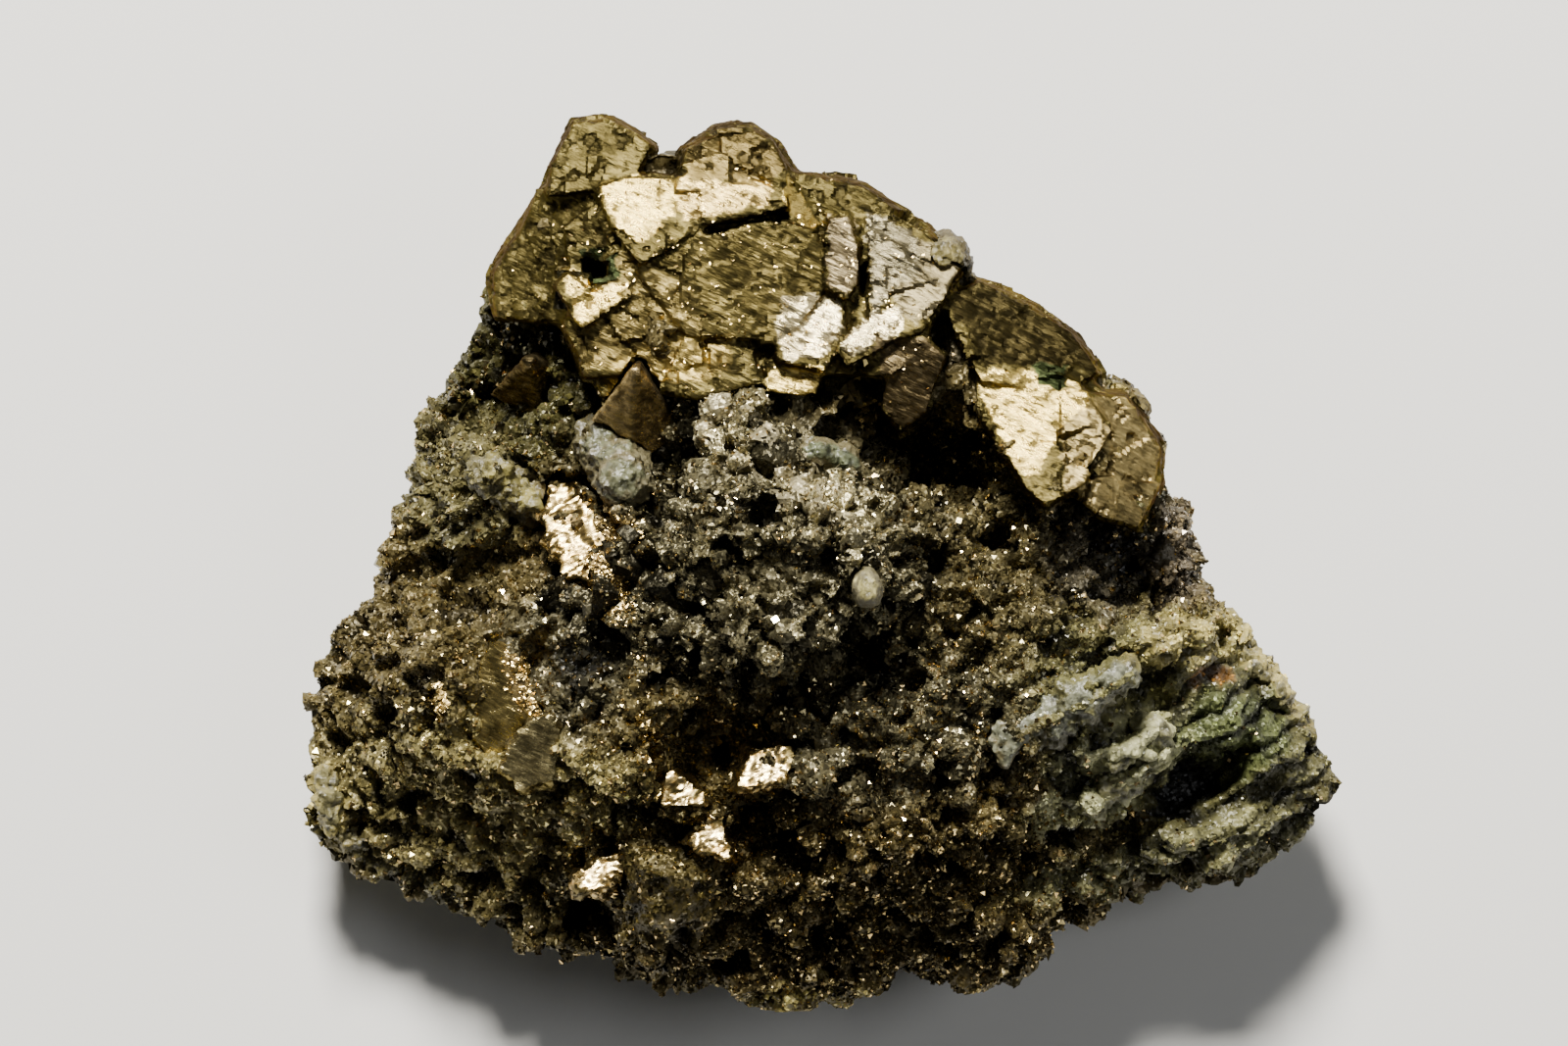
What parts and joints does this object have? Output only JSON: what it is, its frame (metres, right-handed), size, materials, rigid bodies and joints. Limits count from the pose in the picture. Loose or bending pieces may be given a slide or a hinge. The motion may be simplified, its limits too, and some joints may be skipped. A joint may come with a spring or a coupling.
{
  "type": "mineral specimen",
  "caption": "Three-sided lump of vuggy sulphide ore with a grey siegenite knob, blocky brassy chalcopyrite crown and pale grains; a display rock that rests on its flat back.",
  "frame": {"origin": "middle of the flat back, under the middle of the outline", "axes": "+Z out of the crystal face, +Y towards the pointed crown, +X towards the pointed right-hand wing"},
  "size_m": [0.0484, 0.0416, 0.0217],
  "materials": {
    "sulphide_druse": "fine sparkling crust of tiny metallic crystals, bronze to brown",
    "chalcopyrite": "flat metallic faces, dull brass with bright and tarnished parts",
    "cleaved_chalcopyrite": "mirror-bright brassy faces",
    "siegenite": "sugary steel-grey metallic grains",
    "quartz": "milky, translucent, bluish white",
    "dolomite": "cream to buff, waxy"
  },
  "bodies": {
    "root": {"matrix": "sulphide_druse", "chalcopyrite_crown": "chalcopyrite", "bronze_pyramid": "chalcopyrite", "dark_tetrahedron": "chalcopyrite", "bronze_slab_upper": "chalcopyrite", "bronze_slab_lower": "chalcopyrite", "golden_face": "cleaved_chalcopyrite", "mirror_blade_upper": "cleaved_chalcopyrite", "mirror_blade_lower": "cleaved_chalcopyrite", "mirror_blade_middle": "cleaved_chalcopyrite", "mirror_blade_foot": "cleaved_chalcopyrite", "siegenite_mass": "siegenite", "quartz_nodule": "quartz", "quartz_vein": "quartz", "quartz_bead": "quartz", "dolomite_lump": "dolomite", "dolomite_rim_lump": "dolomite", "dolomite_grain": "dolomite", "dolomite_patch": "dolomite", "dolomite_patch_lower": "dolomite", "dolomite_rim": "dolomite", "dolomite_lip": "dolomite"}
  },
  "joints": []
}
